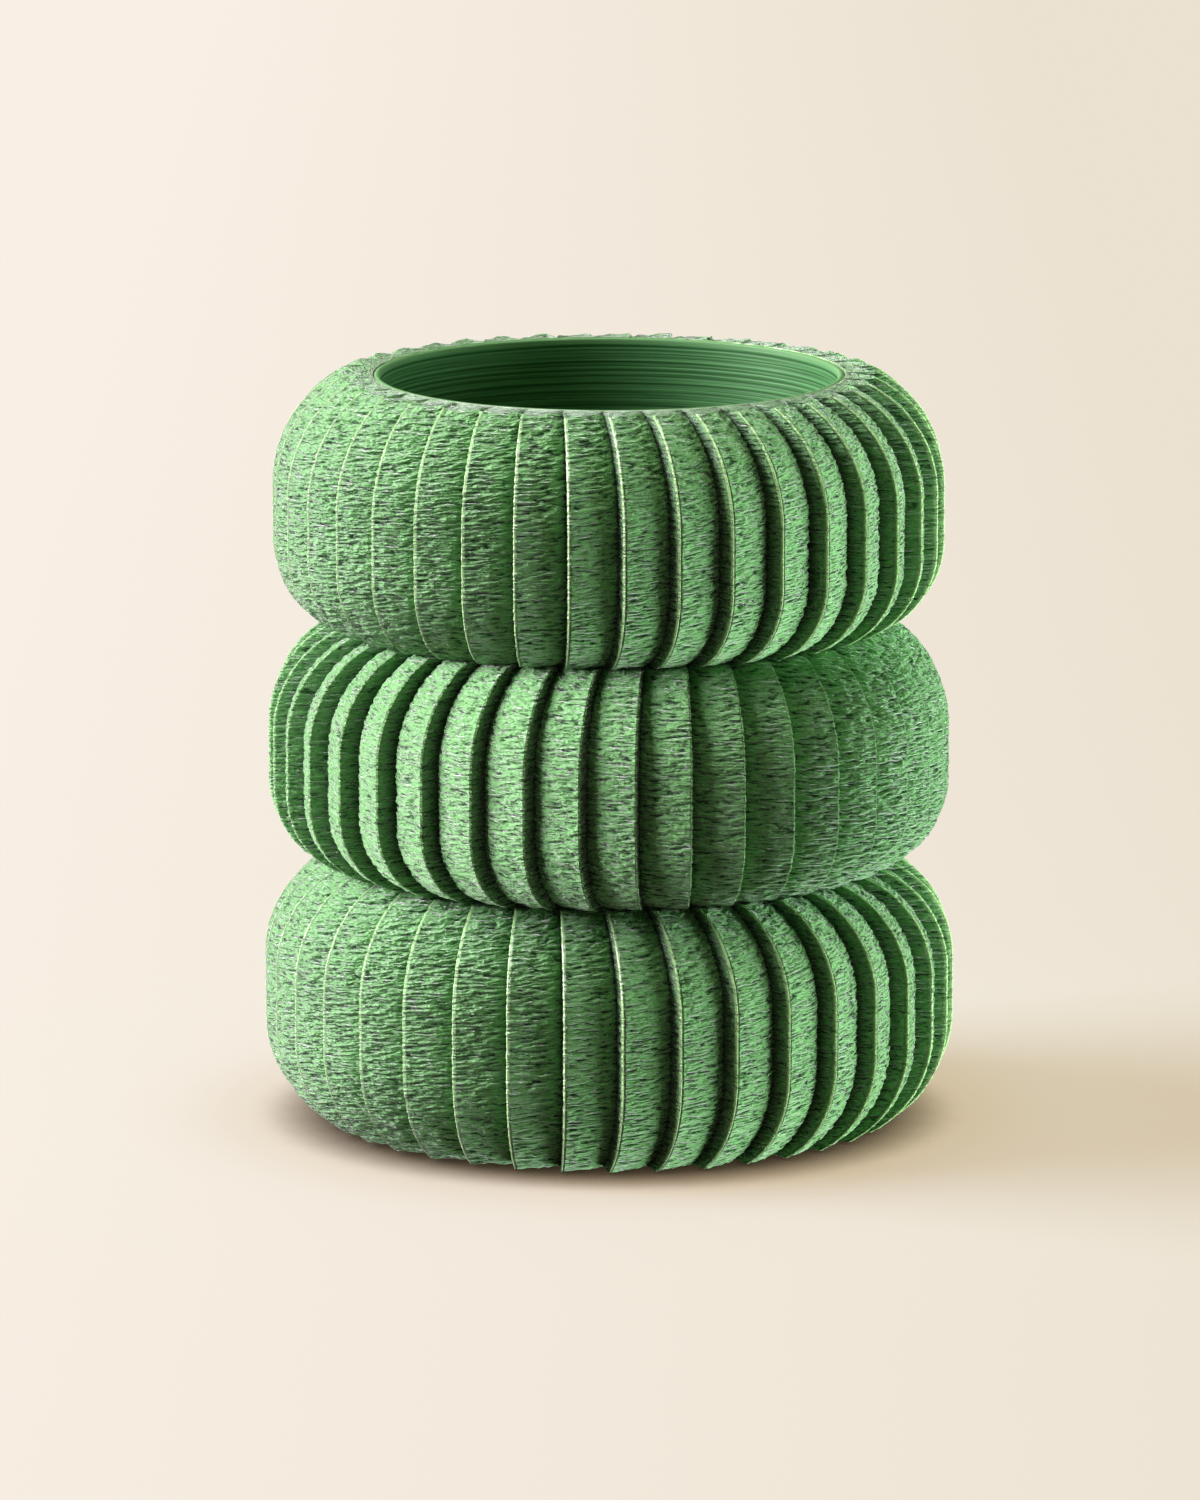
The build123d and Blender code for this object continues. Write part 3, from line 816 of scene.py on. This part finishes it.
# Drain holes through the pot's floor and water gaps through its foot ring
quarter_turns = [Matrix.Rotation(pi / 2 * turn, 4, "Z") for turn in range(4)]
drains = [turn @ Matrix.Translation((DRAIN_CIRCLE, 0, 0)) for turn in quarter_turns]
through_floor = Matrix.Translation((0, 0, floor_z + POT_FLOOR / 2))
holes = bmesh.new()
for spot in [Matrix.Identity(4)] + drains:
    bmesh.ops.create_cone(holes, cap_ends=True, segments=DRAIN_SIDES, radius1=DRAIN_RADIUS,
                          radius2=DRAIN_RADIUS, depth=3 * POT_FLOOR, matrix=through_floor @ spot)
for turn in quarter_turns:
    place = Matrix.Translation((FOOT_RING_RADIUS, 0, POT_LOW[2]))
    size = Matrix.Diagonal((3 * FOOT_RING_WALL, WATER_GAP, 2 * FOOT_RING_HEIGHT, 1))
    bmesh.ops.create_cube(holes, size=1, matrix=turn @ place @ size)
cut_out(pot, new_piece("pot_holes", holes))
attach(pot, "pot")
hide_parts("inner_pot")

for number in range(1, 5):
    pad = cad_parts["foot_pad_%d" % number]
    pad.data.materials.clear()
    pad.data.materials.append(rubber)


# Floor, light and camera

def seen_as_background(graph):
    """1 for what the camera, a reflection or glass sees, 0 for what lights the planter."""
    path = graph.node("ShaderNodeLightPath").outputs
    bounced = graph.most(path["Is Glossy Ray"], path["Is Transmission Ray"])
    return graph.most(path["Is Camera Ray"], bounced)


def pale_paper():
    """Cream paper with painted light, brighter on the left than on the right, and painted shade where the
    planter stands; it throws back less than it shows.
    """
    material = bpy.data.materials.new("pale_paper")
    material.use_nodes = True
    material.node_tree.nodes.clear()
    graph = Graph(material.node_tree)
    seen = seen_as_background(graph)
    across = graph.split(graph.object_place())[0]
    side = graph.spread(across, -PAPER_HALF_WIDTH, PAPER_HALF_WIDTH)
    colour = PAPER_LIT
    # Painted light: the glow fades from the left to the right.
    glow = graph.colour(side, PAPER_GLOW_LEFT, PAPER_GLOW_RIGHT)
    for reach, shut, clear, shade in CONTACT_SHADES:
        near = graph.node("ShaderNodeAmbientOcclusion", samples=8, named={"Distance": reach}).outputs["AO"]
        dark = (*(shade * part for part in CONTACT_TINT), 1)
        left = graph.colour(graph.spread(near, shut, clear), dark, WHITE)
        colour = graph.colour(1.0, colour, left, "MULTIPLY")
        glow = graph.colour(1.0, glow, left, "MULTIPLY")
    lit = graph.node("ShaderNodeBsdfDiffuse", colour)
    even = graph.node("ShaderNodeEmission", glow)
    shown = graph.node("ShaderNodeAddShader", lit.outputs[0], even.outputs[0])
    thrown = graph.node("ShaderNodeBsdfDiffuse", PAPER_THROWN)
    both = graph.node("ShaderNodeMixShader", seen, thrown.outputs[0], shown.outputs[0])
    graph.node("ShaderNodeOutputMaterial", both.outputs[0])
    return material


def studio_floor():
    """Wide, pale, seamless floor."""
    data = bpy.data.meshes.new("studio_floor")
    corners = [(x * FLOOR_REACH, y * FLOOR_REACH, 0) for x, y in ((-1, -1), (1, -1), (1, 1), (-1, 1))]
    data.from_pydata(corners, [], [(0, 1, 2, 3)])
    data.materials.append(pale_paper())
    floor = bpy.data.objects.new("studio_floor", data)
    bpy.context.scene.collection.objects.link(floor)
    return floor


def studio_world():
    """Dim, even surroundings that the camera sees as pale paper."""
    world = bpy.data.worlds.new("studio")
    bpy.context.scene.world = world
    world.use_nodes = True
    world.node_tree.nodes.clear()
    graph = Graph(world.node_tree)
    rise = graph.split(graph.node("ShaderNodeTexCoord").outputs["Generated"])[2]
    wall = graph.times(seen_as_background(graph), graph.spread(rise, WALL_HIGH, WALL_LOW))
    dim = graph.node("ShaderNodeBackground", ROOM_LIGHT, ROOM_STRENGTH)
    pale = graph.node("ShaderNodeBackground", WALL_COLOUR, 1.0)
    both = graph.node("ShaderNodeMixShader", wall, dim.outputs[0], pale.outputs[0])
    graph.node("ShaderNodeOutputWorld", both.outputs[0])


def sun(name, azimuth, elevation, strength, angle, colour):
    """Soft, even light from a direction: azimuth 0 is the camera's side, 90 is the right."""
    data = bpy.data.lights.new(name, "SUN")
    data.energy = strength
    data.angle = radians(angle)
    data.color = colour
    lamp = bpy.data.objects.new(name, data)
    turn = radians(azimuth)
    rise = radians(elevation)
    towards = Vector((sin(turn) * cos(rise), -cos(turn) * cos(rise), sin(rise)))
    lamp.rotation_euler = towards.to_track_quat("Z", "Y").to_euler()
    bpy.context.scene.collection.objects.link(lamp)
    return lamp


def linked(name, pieces, state):
    """Collection that tells a lamp which pieces it reaches, or which it leaves out."""
    group = bpy.data.collections.new(name)
    for number, piece in enumerate(pieces):
        group.objects.link(piece)
        group.collection_objects[number].light_linking.link_state = state
    return group


floor = studio_floor()
studio_world()
overhead = sun("overhead", azimuth=0, elevation=90, strength=1.3, angle=60, colour=(1.0, 0.88, 0.72))
key = sun("key", azimuth=-92, elevation=28, strength=7.8, angle=44, colour=(1.10, 0.96, 1.10))
middle_key = sun("middle_key", azimuth=-80, elevation=24, strength=8.2, angle=50,
                 colour=(1.08, 0.96, 1.05))
fill = sun("fill", azimuth=97, elevation=-18, strength=8.2, angle=64, colour=(0.97, 1.0, 1.0))
middle_fill = sun("middle_fill", azimuth=113, elevation=-12, strength=8.2, angle=40,
                  colour=(0.86, 1.0, 0.90))

# The middle tier's ribs lean the other way, so it has a key and a fill of its own, turned to suit them.
# The fills stand for low cards beside the planter: the floor neither catches their light nor stops it.
for lamp, pieces, state in (
        (key, [middle_shell], "EXCLUDE"), (middle_key, [middle_shell], "INCLUDE"),
        (fill, [floor, middle_shell], "EXCLUDE"), (middle_fill, [middle_shell], "INCLUDE")):
    lamp.light_linking.receiver_collection = linked(lamp.name + "_pieces", pieces, state)
for lamp in (overhead, fill, middle_fill):
    lamp.visible_glossy = False
no_floor = linked("fill_blockers", [floor], "EXCLUDE")
for lamp in (fill, middle_fill):
    lamp.light_linking.blocker_collection = no_floor

lens = bpy.data.cameras.new("camera")
lens.sensor_fit = "VERTICAL"
lens.sensor_height = 36
lens.lens = lens.sensor_height * FOCAL_PIXELS / PHOTO_HEIGHT
lens.shift_x = -AXIS_PIXELS_RIGHT / PHOTO_HEIGHT
lens.clip_end = 100
camera = bpy.data.objects.new("camera", lens)
camera.location = (0, -CAMERA_DISTANCE, CAMERA_HEIGHT)
camera.rotation_euler = (pi / 2 - CAMERA_PITCH, 0, 0)
bpy.context.scene.collection.objects.link(camera)
bpy.context.scene.camera = camera
bpy.context.scene.view_settings.view_transform = "Standard"
